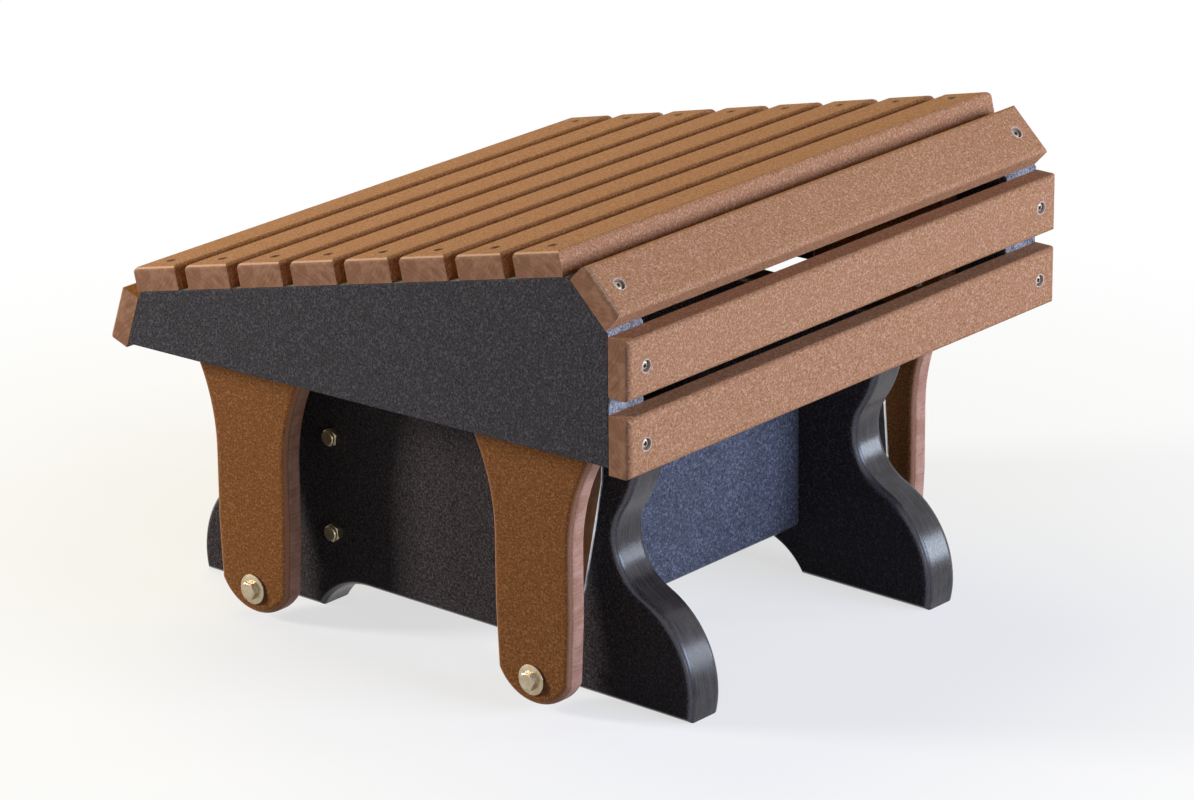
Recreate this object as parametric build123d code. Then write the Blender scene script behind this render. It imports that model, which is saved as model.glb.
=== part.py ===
from build123d import *
import math
import os

# Glider ottoman: a slatted seat that hangs on four links between two arched base boards.
# X runs across, -Y is the high front end, +Z is up. The origin is on the floor, under the
# middle of the whole ottoman. Lengths are in millimetres and angles in degrees.

# ---------------------------------------------------------------------------
# Driving sizes
# ---------------------------------------------------------------------------

# Boards that the ottoman is cut from
slat_thickness = 18.5
leg_thickness = 18.5
panel_thickness = 38.0
board_thickness = 34.5

# Slats
slat_length = 495.0
slat_width = 44.0
slat_gap = 10.9
slat_edge_radius = 4.0
top_slat_count = 8

# Side panels, seen from the side and followed round from the front bottom corner
panel_lead = 10.6
panel_front_height = 223.2
lower_slat_drop = 5.3
front_slat_gap = 12.9
front_slat_setback = 2.1
bevel_angle = 43.6
bevel_slat_margin = 2.6
deck_slope = 13.35
deck_front_margin = 4.2
low_slat_overhang = 1.8
low_end_splay = 18.8
nose_slat_setback = 5.6
nose_slat_drop = 3.3
panel_edge_radius = 1.0

# Base boards
link_space = 34.0
board_height = 226.0
foot_reach = 104.7
foot_height = 17.0
foot_tuck = 2.2
lower_bend_height = 86.3
neck_margin = 22.6
neck_height = 126.8
upper_bend_height = 147.3
head_margin = 45.4
head_corner_radius = 24.5
toe_length = 123.4
arch_height = 26.3
arch_radius = 55.0
board_edge_radius = 6.0

# Cross panels between the base boards
cross_panel_setback = 48.0
cross_panel_clearance = 38.0
cross_panel_height = 131.0
cross_panel_edge_radius = 5.0
hanger_bolt_spacing = 76.0
hanger_bolt_depth = 50.0

# Hanger legs
leg_setback = 96.1
leg_width = 74.0
leg_foot_width = 69.0
leg_floor_clearance = 5.6
leg_round_height = 21.0
leg_taper_height = 75.0
leg_flare_start = 128.8
leg_flare_radius = 148.0
leg_shoulder_width = 128.0
leg_top_margin = 9.0
leg_edge_radius = 6.0
leg_screw_spacing = 80.0
leg_screw_edge = 11.0

# Glide links
link_splay = 10.3
upper_pivot_drop = 36.0
lower_pivot_height = 25.5
link_width = 38.0
link_thickness = 3.0
link_flat = 20.0

# Bushings in the links
bushing_outer_radius = 6.0
bushing_flange_radius = 9.5
bushing_flange_thickness = 1.2

# Pivot and hanger bolts, washers and nuts
bolt_radius = 4.0
bolt_head_flats = 12.7
bolt_head_height = 5.3
nut_flats = 12.7
nut_height = 8.5
bolt_end = 1.5
washer_radius = 11.7
washer_thickness = 1.8
spacer_radius = 9.5
spacer_thickness = 3.0

# Wood screws
slat_screw_length = 44.0
slat_screw_radius = 2.1
slat_screw_head_radius = 4.0
slat_screw_head_height = 2.2
slat_screw_sink = 1.3
leg_screw_length = 40.0
leg_screw_radius = 2.1
leg_screw_head_radius = 4.4
leg_screw_head_height = 2.6

# Clearances
pivot_clearance = 0.05
linkage_slack = 0.6
side_clearance = 0.3
bolt_hole_clearance = 0.25
bushing_seat_clearance = 0.05
screw_hole_clearance = 0.1
screw_head_clearance = 0.4

# ---------------------------------------------------------------------------
# Sizes worked out from them
# ---------------------------------------------------------------------------

slat_pitch = slat_width + slat_gap
seat_half_width = slat_length / 2
panel_inner_face = seat_half_width - panel_thickness
leg_inner_face = panel_inner_face - leg_thickness
base_outer_half_width = leg_inner_face - link_space
base_inner_half_width = base_outer_half_width - board_thickness
pin_hole_radius = bolt_radius + bolt_hole_clearance
screw_hole_radius = slat_screw_radius + screw_hole_clearance

# Edges of the side panel. Each is as long as the slats that lie on it need.
deck_edge = top_slat_count * slat_pitch - slat_gap - low_slat_overhang + deck_front_margin
bevel_edge = slat_width + 2 * bevel_slat_margin
front_edge = front_slat_setback + 2 * slat_width + front_slat_gap - lower_slat_drop
low_edge = nose_slat_setback + slat_width - nose_slat_drop


def step(start, angle, length):
    """Return the point that lies a length from start, angle degrees up from the +Y direction."""
    run = length * math.cos(math.radians(angle))
    rise = length * math.sin(math.radians(angle))
    return (start[0] + run, start[1] + rise)


# Corners of the side panel as (along, up), with along counted from the middle of the base.
bevel_run = bevel_edge * math.cos(math.radians(bevel_angle))
deck_run = deck_edge * math.cos(math.radians(deck_slope))
panel_run = bevel_run + deck_run + low_edge * math.sin(math.radians(low_end_splay))
front_bottom = (-panel_run / 2 - panel_lead, panel_front_height)
front_top = step(front_bottom, 90, front_edge)
bevel_top = step(front_top, bevel_angle, bevel_edge)
deck_low = step(bevel_top, -deck_slope, deck_edge)
low_bottom = step(deck_low, low_end_splay - 90, low_edge)

# Legs, pivots, cross panels and feet, all counted from the middle of the base.
leg_offset = panel_run / 2 - leg_setback
upper_pivot_offset = leg_offset + link_splay
upper_pivot_height = board_height - upper_pivot_drop
cross_panel_offset = upper_pivot_offset - cross_panel_setback
foot_half_length = leg_offset + foot_reach
neck_half_length = upper_pivot_offset + neck_margin
head_half_length = upper_pivot_offset + head_margin
arch_toe_half_length = foot_half_length - toe_length
ends = [("front", -1), ("rear", 1)]

# Reach of the ottoman each way from the middle of the base, which puts the origin in its middle.
nose_edge = step(low_bottom, low_end_splay, slat_thickness - slat_edge_radius)
nose_reach = step(nose_edge, low_end_splay - 90, nose_slat_drop - slat_edge_radius)[0] + slat_edge_radius
front_reach = slat_thickness - front_bottom[0]
base_middle = (front_reach - max(nose_reach, foot_half_length)) / 2

# Where each piece of the pivots lies across the width, from the board or leg outwards.
link_stack = spacer_thickness + side_clearance + bushing_flange_thickness
upper_strap_inner = base_outer_half_width + link_stack
lower_strap_inner = leg_inner_face - link_stack - link_thickness
bushing_length = link_thickness + 2 * bushing_flange_thickness
nut_side_stack = link_stack + link_thickness + bushing_flange_thickness + side_clearance


# ---------------------------------------------------------------------------
# Helpers
# ---------------------------------------------------------------------------

def place(along, up, across=0.0):
    """Location at a point given from the middle of the base."""
    return Pos(across, base_middle + along, up)


def disc(radius, length, across, along, up):
    """Solid cylinder that lies along X, from across to across + length."""
    lying = Cylinder(radius, length, rotation=(0, 90, 0), align=(Align.CENTER, Align.CENTER, Align.MIN))
    return place(along, up, across) * lying


def ring(outer_radius, inner_radius, length, across, along, up):
    """Cylinder along X with a hole through it."""
    return disc(outer_radius, length, across, along, up) - disc(inner_radius, length, across, along, up)


def hexagon(flats, length, across, along, up):
    """Hexagonal bar along X, with a flat up."""
    outline = Plane.YZ * RegularPolygon(flats / 2, 6, major_radius=False)
    return place(along, up, across) * extrude(outline, length)


def both_sides(piece):
    """The piece and its mirror image on the -X side, as a list of two."""
    return [piece, mirror(piece, Plane.YZ)]


def side_outline(edges):
    """Face on the YZ plane from half an outline and its mirror image."""
    half = Curve() + edges
    return Plane.YZ * make_face(half + mirror(half, Plane.YZ))


def outline_edges(board, radius):
    """Round over every edge of a board's two flat faces."""
    faces = board.faces().sort_by(Axis.X)
    return fillet(faces[0].edges() + faces[-1].edges(), radius)


def save(name, pieces):
    """Write one node."""
    solids = [solid for piece in pieces for solid in piece.solids()]
    export_step(Compound(children=solids), os.path.join("parts", name + ".step"))


# ---------------------------------------------------------------------------
# Base
# ---------------------------------------------------------------------------

def bend_along(low, high, up):
    """Place where two arcs meet at a height, so that both are upright at their other ends."""
    return low[0] + (high[0] - low[0]) * (up - low[1]) / (high[1] - low[1])


def base_board():
    """Right base board: S-curved ends, an arch between the feet and rounded edges."""
    arch_flat = arch_toe_half_length - math.sqrt(arch_radius ** 2 - (arch_radius - arch_height) ** 2)
    sole_end = (foot_half_length - foot_tuck, 0)
    foot = (foot_half_length, foot_height)
    neck = (neck_half_length, neck_height)
    head = (head_half_length, board_height - head_corner_radius)
    lower_bend = (bend_along(foot, neck, lower_bend_height), lower_bend_height)
    upper_bend = (bend_along(neck, head, upper_bend_height), upper_bend_height)
    half = [
        Line((0, arch_height), (arch_flat, arch_height)),
        TangentArc((arch_flat, arch_height), (arch_toe_half_length, 0), tangent=(1, 0)),
        Line((arch_toe_half_length, 0), sole_end),
        TangentArc(foot, sole_end, tangent=(0, -1)),
        TangentArc(foot, lower_bend, tangent=(0, 1)),
        TangentArc(neck, lower_bend, tangent=(0, -1)),
        TangentArc(neck, upper_bend, tangent=(0, 1)),
        TangentArc(head, upper_bend, tangent=(0, -1)),
        TangentArc(head, (head[0] - head_corner_radius, board_height), tangent=(0, 1)),
        Line((head[0] - head_corner_radius, board_height), (0, board_height)),
    ]
    board = place(0, 0, base_inner_half_width) * extrude(side_outline(half), board_thickness)
    board = outline_edges(board, board_edge_radius)
    for _, sign in ends:
        board -= disc(pin_hole_radius, board_thickness, base_inner_half_width,
                      sign * upper_pivot_offset, upper_pivot_height)
        for up in hanger_bolt_heights():
            board -= disc(pin_hole_radius, board_thickness, base_inner_half_width,
                          sign * cross_panel_offset, up)
    return board


def hanger_bolt_heights():
    """Heights of the two bolts in each end of a cross panel."""
    middle = cross_panel_clearance + cross_panel_height / 2
    return [middle - hanger_bolt_spacing / 2, middle + hanger_bolt_spacing / 2]


def cross_panel(sign):
    """Upright panel between the base boards, with a bolt hole in each end."""
    panel = Box(2 * base_inner_half_width, board_thickness, cross_panel_height,
                align=(Align.CENTER, Align.CENTER, Align.MIN))
    panel = fillet(panel.edges().filter_by(Axis.X), cross_panel_edge_radius)
    panel = place(sign * cross_panel_offset, cross_panel_clearance) * panel
    for up in hanger_bolt_heights():
        hole = disc(bolt_radius + screw_hole_clearance, hanger_bolt_depth,
                    base_inner_half_width - hanger_bolt_depth, sign * cross_panel_offset, up)
        for side_hole in both_sides(hole):
            panel -= side_hole
    return panel


def cross_panel_hardware():
    """Hanger bolts and lock nuts that hold the cross panels."""
    bolts = []
    nuts = []
    start = base_inner_half_width - hanger_bolt_depth
    length = hanger_bolt_depth + board_thickness + nut_height - bolt_end
    for _, sign in ends:
        along = sign * cross_panel_offset
        for up in hanger_bolt_heights():
            bolts += both_sides(disc(bolt_radius, length, start, along, up))
            nut = hexagon(nut_flats, nut_height, base_outer_half_width, along, up)
            nut -= disc(bolt_radius + pivot_clearance, nut_height, base_outer_half_width, along, up)
            nuts += both_sides(nut)
    return {"hanger_bolts": bolts, "cross_panel_nuts": nuts}


# ---------------------------------------------------------------------------
# Pivots and links
# ---------------------------------------------------------------------------

def pivot_hardware(name, along, up, face, board, outwards):
    """Bolt, washers, spacer and nut of one pivot and its mirror image.

    face is the board's face next to the link, and outwards is 1 where the link lies further
    from the middle of the ottoman than that board, or -1 where it lies nearer.
    """
    def span(near, length):
        """Lower X of a piece that starts near from the board's face."""
        return face + outwards * near - (length if outwards < 0 else 0)

    head_start = -board - washer_thickness - bolt_head_height
    nut_start = nut_side_stack + washer_thickness
    shank = nut_start + nut_height + bolt_end + board + washer_thickness
    bolt = hexagon(bolt_head_flats, bolt_head_height, span(head_start, bolt_head_height), along, up)
    bolt += disc(bolt_radius, shank, span(-board - washer_thickness, shank), along, up)
    nut = hexagon(nut_flats, nut_height, span(nut_start, nut_height), along, up)
    nut -= disc(bolt_radius + pivot_clearance, nut_height, span(nut_start, nut_height), along, up)
    head_washer = ring(washer_radius, pin_hole_radius, washer_thickness,
                       span(-board - washer_thickness, washer_thickness), along, up)
    spacer = ring(spacer_radius, pin_hole_radius, spacer_thickness, span(0, spacer_thickness), along, up)
    nut_washer = ring(washer_radius, pin_hole_radius, washer_thickness,
                      span(nut_side_stack, washer_thickness), along, up)
    return {
        name + "_pivot_bolts": both_sides(bolt),
        name + "_pivot_head_washers": both_sides(head_washer),
        name + "_pivot_spacers": both_sides(spacer),
        name + "_pivot_nut_washers": both_sides(nut_washer),
        name + "_pivot_nuts": both_sides(nut),
    }


def link(sign):
    """Right-hand link strap: flat at both pivots, with a slope between that carries it outwards."""
    top = upper_pivot_height + link_width
    bottom = lower_pivot_height - link_width
    step_top = upper_pivot_height - link_flat
    step_bottom = lower_pivot_height + link_flat
    path = [(upper_strap_inner, top), (upper_strap_inner, step_top),
            (lower_strap_inner, step_bottom), (lower_strap_inner, bottom)]
    back = [(across + link_thickness, up) for across, up in reversed(path)]
    strip = Plane.XZ * make_face(Polyline(*path, *back, close=True))
    strap = extrude(strip, link_width * 2, both=True)

    upper = (sign * upper_pivot_offset, upper_pivot_height)
    lower = (sign * leg_offset, lower_pivot_height)
    rise = math.hypot(upper[0] - lower[0], upper[1] - lower[1])
    lean = math.degrees(math.atan2(upper[0] - lower[0], upper[1] - lower[1]))
    outline = Plane.YZ * SlotCenterToCenter(rise, link_width, rotation=90)
    outline = Rot(-lean, 0, 0) * outline
    middle = ((upper[0] + lower[0]) / 2, (upper[1] + lower[1]) / 2)
    cutter = Pos(0, middle[0], middle[1]) * extrude(outline, seat_half_width)
    strap = place(0, 0) * (Pos(0, middle[0], 0) * strap & cutter)
    for along, up in (upper, lower):
        strap -= disc(bushing_outer_radius + bushing_seat_clearance, seat_half_width, 0, along, up)
    return strap


def bushing(strap_inner, hole_radius, along, up):
    """Flanged bushing through a strap."""
    start = strap_inner - bushing_flange_thickness
    body = disc(bushing_outer_radius, bushing_length, start, along, up)
    body += disc(bushing_flange_radius, bushing_flange_thickness, start, along, up)
    body += disc(bushing_flange_radius, bushing_flange_thickness, strap_inner + link_thickness, along, up)
    return body - disc(hole_radius, bushing_length, start, along, up)


def link_nodes():
    """Four links and their bushings. The rear lower bushings have slack for the closed linkage."""
    nodes = {}
    for end, sign in ends:
        slack = pivot_clearance if end == "front" else linkage_slack
        strap = link(sign)
        upper = bushing(upper_strap_inner, bolt_radius + pivot_clearance,
                        sign * upper_pivot_offset, upper_pivot_height)
        lower = bushing(lower_strap_inner, bolt_radius + slack, sign * leg_offset, lower_pivot_height)
        for side, left in (("right", False), ("left", True)):
            pieces = [strap, upper, lower]
            if left:
                pieces = [mirror(piece, Plane.YZ) for piece in pieces]
            nodes["link_" + end + "_" + side] = pieces[:1]
            nodes["link_bushings_" + end + "_" + side] = pieces[1:]
    return nodes


# ---------------------------------------------------------------------------
# Seat
# ---------------------------------------------------------------------------

def slat_seats():
    """Name, middle point on the panel's edge and facing angle of each slat."""
    seats = []
    for index in range(top_slat_count):
        name = "top_slat_" + str(index + 1)
        distance = index * slat_pitch + slat_width / 2 - low_slat_overhang
        seats.append((name, step(deck_low, 180 - deck_slope, distance), 90 - deck_slope))
    seats.append(("bevel_slat", step(front_top, bevel_angle, bevel_edge / 2), 90 + bevel_angle))
    upper = front_slat_setback + slat_width / 2
    lower = upper + slat_width + front_slat_gap
    seats.append(("front_slat_upper", step(front_top, -90, upper), 180))
    seats.append(("front_slat_lower", step(front_top, -90, lower), 180))
    nose = nose_slat_setback + slat_width / 2
    seats.append(("nose_slat", step(deck_low, low_end_splay - 90, nose), low_end_splay))
    return seats


def on_edge(point, facing):
    """Location on a panel's edge, with its own Z square to that edge."""
    return place(point[0], point[1]) * Rot(facing - 90, 0, 0)


def slat():
    """One slat on its back face, with its upper edges rounded and a counterbored hole at each end."""
    board = Box(slat_length, slat_width, slat_thickness, align=(Align.CENTER, Align.CENTER, Align.MIN))
    board = fillet(board.faces().sort_by(Axis.Z)[-1].edges(), slat_edge_radius)
    for hole in slat_screws(screw_hole_clearance, screw_head_clearance, slat_screw_sink):
        board -= hole
    return board


def slat_screws(shank_clearance=0.0, head_clearance=0.0, head_extra=0.0):
    """The two screws of a slat or, with clearances and a taller head, the holes that take them."""
    shank = Cylinder(slat_screw_radius + shank_clearance, slat_screw_length + shank_clearance,
                     align=(Align.CENTER, Align.CENTER, Align.MAX))
    head = Cylinder(slat_screw_head_radius + head_clearance, slat_screw_head_height + head_extra,
                    align=(Align.CENTER, Align.CENTER, Align.MIN))
    seat = slat_thickness - slat_screw_sink - slat_screw_head_height
    inset = seat_half_width - panel_thickness / 2
    return [Pos(side * inset, 0, seat) * (shank + head) for side in (-1, 1)]


def panel_underside(along):
    """Height of the side panel's bottom edge."""
    share = (along - front_bottom[0]) / (low_bottom[0] - front_bottom[0])
    return front_bottom[1] + share * (low_bottom[1] - front_bottom[1])


def side_panel():
    """Right side panel, with pilot holes for the slats' and the legs' screws."""
    corners = Polyline(front_bottom, front_top, bevel_top, deck_low, low_bottom, close=True)
    panel = place(0, 0, panel_inner_face) * extrude(Plane.YZ * make_face(corners), panel_thickness)
    panel = outline_edges(panel, panel_edge_radius)
    for _, point, facing in slat_seats():
        panel -= on_edge(point, facing) * slat_screws(screw_hole_clearance)[1]
    for _, sign in ends:
        for along, up in leg_screw_points(sign):
            panel -= disc(screw_hole_radius, leg_screw_length, leg_inner_face, along, up)
    return panel


def deck_height(along):
    """Height of the side panel's sloping top edge."""
    return deck_low[1] + (deck_low[0] - along) * math.tan(math.radians(deck_slope))


def leg_top(sign):
    """Height of the top of a leg, which stays under the deck at the leg's lower shoulder."""
    return deck_height(sign * leg_offset + leg_shoulder_width / 2) - leg_top_margin


def leg_screw_points(sign):
    """The four screws that hold a leg: one row near its top, one just above the panel's underside."""
    middle = sign * leg_offset
    rows = [leg_top(sign) - leg_screw_edge, panel_underside(middle) + leg_screw_edge]
    half = leg_screw_spacing / 2
    return [(middle + shift, up) for up in rows for shift in (-half, half)]


def leg(sign):
    """Right hanger leg: rounded foot, straight waist and a flared head behind the panel."""
    foot_bottom = (0, leg_floor_clearance)
    foot_side = (leg_foot_width / 2, leg_floor_clearance + leg_round_height)
    taper_top = (leg_width / 2, leg_taper_height)
    waist = (leg_width / 2, leg_flare_start)
    shoulder = leg_shoulder_width / 2
    flare_run = shoulder - leg_width / 2
    flare_rise = math.sqrt(leg_flare_radius ** 2 - (leg_flare_radius - flare_run) ** 2)
    flare_end = (shoulder, leg_flare_start + flare_rise)
    top = leg_top(sign)
    half = [
        TangentArc(foot_bottom, foot_side, tangent=(1, 0)),
        Line(foot_side, taper_top),
        Line(taper_top, waist),
        TangentArc(waist, flare_end, tangent=(0, 1)),
        Line(flare_end, (shoulder, top)),
        Line((shoulder, top), (0, top)),
    ]
    board = place(sign * leg_offset, 0, leg_inner_face) * extrude(side_outline(half), leg_thickness)
    board = outline_edges(board, leg_edge_radius)
    board -= disc(pin_hole_radius, leg_thickness, leg_inner_face, sign * leg_offset, lower_pivot_height)
    for along, up in leg_screw_points(sign):
        board -= disc(screw_hole_radius, leg_thickness, leg_inner_face, along, up)
    return board


def leg_screws():
    """Pan-head screws from inside the legs into the side panels."""
    screws = []
    for _, sign in ends:
        for along, up in leg_screw_points(sign):
            screw = disc(leg_screw_radius, leg_screw_length, leg_inner_face, along, up)
            head_start = leg_inner_face - leg_screw_head_height
            screw += disc(leg_screw_head_radius, leg_screw_head_height, head_start, along, up)
            screws += both_sides(screw)
    return screws


# ---------------------------------------------------------------------------
# Whole ottoman
# ---------------------------------------------------------------------------

def add_sides(nodes, name, piece):
    """Add a right-hand piece and its mirror image as two nodes."""
    nodes[name + "_right"] = [piece]
    nodes[name + "_left"] = [mirror(piece, Plane.YZ)]


def add_groups(nodes, groups):
    """Add solids to nodes that hold several."""
    for name, pieces in groups.items():
        nodes.setdefault(name, []).extend(pieces)


def ottoman():
    """All nodes, as lists of solids by name."""
    nodes = {}
    add_sides(nodes, "base_board", base_board())
    add_groups(nodes, cross_panel_hardware())
    nodes.update(link_nodes())
    add_sides(nodes, "side_panel", side_panel())
    for end, sign in ends:
        nodes["cross_panel_" + end] = [cross_panel(sign)]
        add_sides(nodes, "leg_" + end, leg(sign))
        add_groups(nodes, pivot_hardware("upper", sign * upper_pivot_offset, upper_pivot_height,
                                         base_outer_half_width, board_thickness, 1))
        add_groups(nodes, pivot_hardware("lower", sign * leg_offset, lower_pivot_height,
                                         leg_inner_face, leg_thickness, -1))
    nodes["leg_screws"] = leg_screws()
    plain_slat = slat()
    screws = slat_screws()
    for name, point, facing in slat_seats():
        nodes[name] = [on_edge(point, facing) * plain_slat]
        add_groups(nodes, {"slat_screws": [on_edge(point, facing) * screw for screw in screws]})
    return nodes


os.makedirs("parts", exist_ok=True)
for node_name, node_pieces in ottoman().items():
    save(node_name, node_pieces)
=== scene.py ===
import logging
import math
import random
from contextlib import contextmanager
from dataclasses import dataclass, field, replace
from enum import Enum
from functools import cache
from typing import Any, Callable, ClassVar, Iterator, Sequence

import bmesh
import bpy
from mathutils import Color, Matrix, Vector


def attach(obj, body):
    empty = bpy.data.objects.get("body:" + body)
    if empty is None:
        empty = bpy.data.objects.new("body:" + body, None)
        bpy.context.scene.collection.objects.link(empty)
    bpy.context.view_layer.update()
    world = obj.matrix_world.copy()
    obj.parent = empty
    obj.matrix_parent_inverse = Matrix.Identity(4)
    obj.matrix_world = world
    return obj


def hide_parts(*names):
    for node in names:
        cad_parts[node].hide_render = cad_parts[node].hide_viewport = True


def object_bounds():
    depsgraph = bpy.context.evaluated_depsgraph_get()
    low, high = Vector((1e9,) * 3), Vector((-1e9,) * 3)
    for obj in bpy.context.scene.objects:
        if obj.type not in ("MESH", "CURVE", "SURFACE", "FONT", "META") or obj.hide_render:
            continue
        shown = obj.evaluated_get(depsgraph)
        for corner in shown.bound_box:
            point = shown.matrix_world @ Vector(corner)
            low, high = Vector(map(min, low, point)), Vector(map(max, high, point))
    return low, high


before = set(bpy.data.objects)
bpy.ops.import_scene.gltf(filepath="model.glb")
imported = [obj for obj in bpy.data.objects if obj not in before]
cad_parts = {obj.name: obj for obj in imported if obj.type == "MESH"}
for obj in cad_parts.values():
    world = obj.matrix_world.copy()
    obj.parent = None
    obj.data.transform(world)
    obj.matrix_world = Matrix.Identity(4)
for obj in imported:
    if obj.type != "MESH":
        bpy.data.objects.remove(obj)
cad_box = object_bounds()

Colour = tuple[float, float, float]
Profile = Sequence[tuple[float, float]]
Object = bpy.types.Object
Material = bpy.types.Material
Socket = bpy.types.NodeSocket
Tree = bpy.types.NodeTree

log = logging.getLogger("glider_ottoman")

MM = 0.001
MERGE_DISTANCE = 0.001 * MM
FINE_RING = 48
ACROSS = Vector((1, 0, 0))
LAID_ALONG_X = (0, math.pi / 2, 0)


class Body(Enum):
    """CAD bodies that pieces ride on."""

    BASE = "base"
    SEAT = "seat"


class Slot(Enum):
    """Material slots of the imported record."""

    DECK = "deck"
    LEG_BOARD = "leg_board"
    BLACK_BOARD = "black_board"
    BASE_BLACK = "base_black"
    LINK_STEEL = "link_steel"
    BOLT_STEEL = "bolt_steel"
    SCREW_STEEL = "screw_steel"
    BUSHING_PLASTIC = "bushing_plastic"


class CutFaces(Enum):
    """Which faces of a board are sawn or routed, told by how squarely they face along its axis."""

    ENDS = "ends"
    EDGES = "edges"


def linear(*display: int) -> Colour:
    """Turn a red, a green and a blue display value from 0 to 255 into a linear colour."""
    return tuple(Color([value / 255 for value in display]).from_srgb_to_scene_linear())


# ---------------------------------------------------------------------------
# Modelling tools
# ---------------------------------------------------------------------------

def select_only(piece: Object) -> None:
    """Make a piece the only selected and active object.

    Args:
        piece: The object to work on.
    """
    bpy.ops.object.select_all(action="DESELECT")
    piece.select_set(True)
    bpy.context.view_layer.objects.active = piece


@contextmanager
def editing(piece: Object) -> Iterator[None]:
    """Work on a piece in edit mode with everything in it selected.

    Args:
        piece: The object to work on.
    """
    select_only(piece)
    bpy.ops.object.mode_set(mode="EDIT")
    bpy.ops.mesh.select_all(action="SELECT")
    yield
    bpy.ops.object.mode_set(mode="OBJECT")


def primitive(add: Callable[..., Any], name: str, **settings: Any) -> Object:
    """Add a primitive with nothing else selected.

    Args:
        add: The operator that adds it.
        name: Name of the new object.
        settings: The operator's sizes and place.

    Returns:
        The new object.
    """
    bpy.ops.object.select_all(action="DESELECT")
    add(**settings)
    bpy.context.object.name = name
    return bpy.context.object


def modify(piece: Object, kind: str, **settings: Any) -> None:
    """Add a modifier to a piece and apply it.

    Args:
        piece: The object to modify.
        kind: The modifier's type.
        settings: Values of the modifier's properties.
    """
    modifier = piece.modifiers.new(kind.lower(), kind)
    for name, value in settings.items():
        setattr(modifier, name, value)
    select_only(piece)
    bpy.ops.object.modifier_apply(modifier=modifier.name)


def soften(piece: Object, width: float, sharpest: float) -> None:
    """Bevel the edges of a piece that turn more than an angle in degrees."""
    modify(piece, "BEVEL", width=width, segments=2, limit_method="ANGLE", angle_limit=math.radians(sharpest))


def combine(piece: Object, tool: Object, operation: str) -> None:
    """Join, cut or intersect a piece with a closed tool, and remove the tool."""
    modify(piece, "BOOLEAN", operation=operation, object=tool, solver="EXACT")
    bpy.data.objects.remove(tool)


def finish_mesh(piece: Object, smooth_angle: float = 32.0) -> Object:
    """Put a piece's place into its mesh, close it, turn its faces outwards and smooth its curves.

    Args:
        piece: The object to finish.
        smooth_angle: Edges that turn less than this, in degrees, are shaded smooth.

    Returns:
        The same object.
    """
    select_only(piece)
    bpy.ops.object.transform_apply(location=True, rotation=True, scale=True)
    with editing(piece):
        bpy.ops.mesh.remove_doubles(threshold=MERGE_DISTANCE)
        bpy.ops.mesh.normals_make_consistent(inside=False)
    select_only(piece)
    bpy.ops.object.shade_smooth_by_angle(angle=math.radians(smooth_angle))
    return piece


def turned(name: str, profile: Profile, segments: int = 32, closed: bool = False) -> Object:
    """Turn a profile about X, ring by ring.

    Args:
        name: Name of the new object.
        profile: Pairs of place along X and radius, in metres.
        segments: Faces round each ring.
        closed: True where the profile comes back to its start, as in a washer.

    Returns:
        The new object, at the origin.
    """
    along, radius = profile[0]
    piece = primitive(bpy.ops.mesh.primitive_circle_add, name, vertices=segments, radius=radius,
                      location=(along, 0, 0), rotation=LAID_ALONG_X)
    rings = [*profile[1:], profile[0]] if closed else profile[1:]
    with editing(piece):
        for next_along, next_radius in rings:
            bpy.ops.mesh.extrude_region_move(TRANSFORM_OT_translate={"value": (next_along - along, 0, 0)})
            share = next_radius / radius
            bpy.ops.transform.resize(value=(1, share, share), center_override=(next_along, 0, 0))
            along, radius = next_along, next_radius
        bpy.ops.mesh.select_all(action="SELECT")
        bpy.ops.mesh.remove_doubles(threshold=MERGE_DISTANCE)
        if not closed:
            bpy.ops.mesh.select_all(action="SELECT")
            bpy.ops.mesh.fill_holes(sides=0)
    return finish_mesh(piece)


def placed_copy(model: Object, name: str, place: Matrix) -> Object:
    """Copy a model to its place, with a mesh of its own.

    Args:
        model: The object to copy.
        name: Name of the copy.
        place: Where the copy goes.

    Returns:
        The copy, at the origin with its place in its mesh.
    """
    piece = bpy.data.objects.new(name, model.data.copy())
    piece.data.name = name
    piece.data.transform(place)
    bpy.context.scene.collection.objects.link(piece)
    return piece


@dataclass(frozen=True)
class Solid:
    """Box of one solid of a CAD node."""

    low: Vector
    high: Vector

    @property
    def middle(self) -> Vector:
        """Middle of the box."""
        return (self.low + self.high) / 2

    @property
    def radius(self) -> float:
        """Half its height, which is the radius of a round piece that lies along X."""
        return (self.high.z - self.low.z) / 2

    @property
    def side(self) -> int:
        """1 on the right and -1 on the left."""
        return 1 if self.middle.x > 0 else -1

    @property
    def inner(self) -> float:
        """Nearest distance from the middle plane."""
        return min(abs(self.low.x), abs(self.high.x))

    @property
    def outer(self) -> float:
        """Farthest distance from the middle plane."""
        return max(abs(self.low.x), abs(self.high.x))

    def place_at(self, distance: float, pointing: int, turn: float = 0.0) -> Matrix:
        """Place for a piece that was modelled along X from the origin.

        Args:
            distance: Where the piece's origin lies, as a distance from the middle plane.
            pointing: 1 where its +X points away from the middle plane, -1 where it points to it.
            turn: Turn about its axis, in radians.

        Returns:
            The place as a matrix.
        """
        origin = Vector((self.side * distance, self.middle.y, self.middle.z))
        heading = Matrix.Rotation(0 if self.side * pointing > 0 else math.pi, 4, "Z")
        return Matrix.Translation(origin) @ heading @ Matrix.Rotation(turn, 4, "X")


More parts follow.
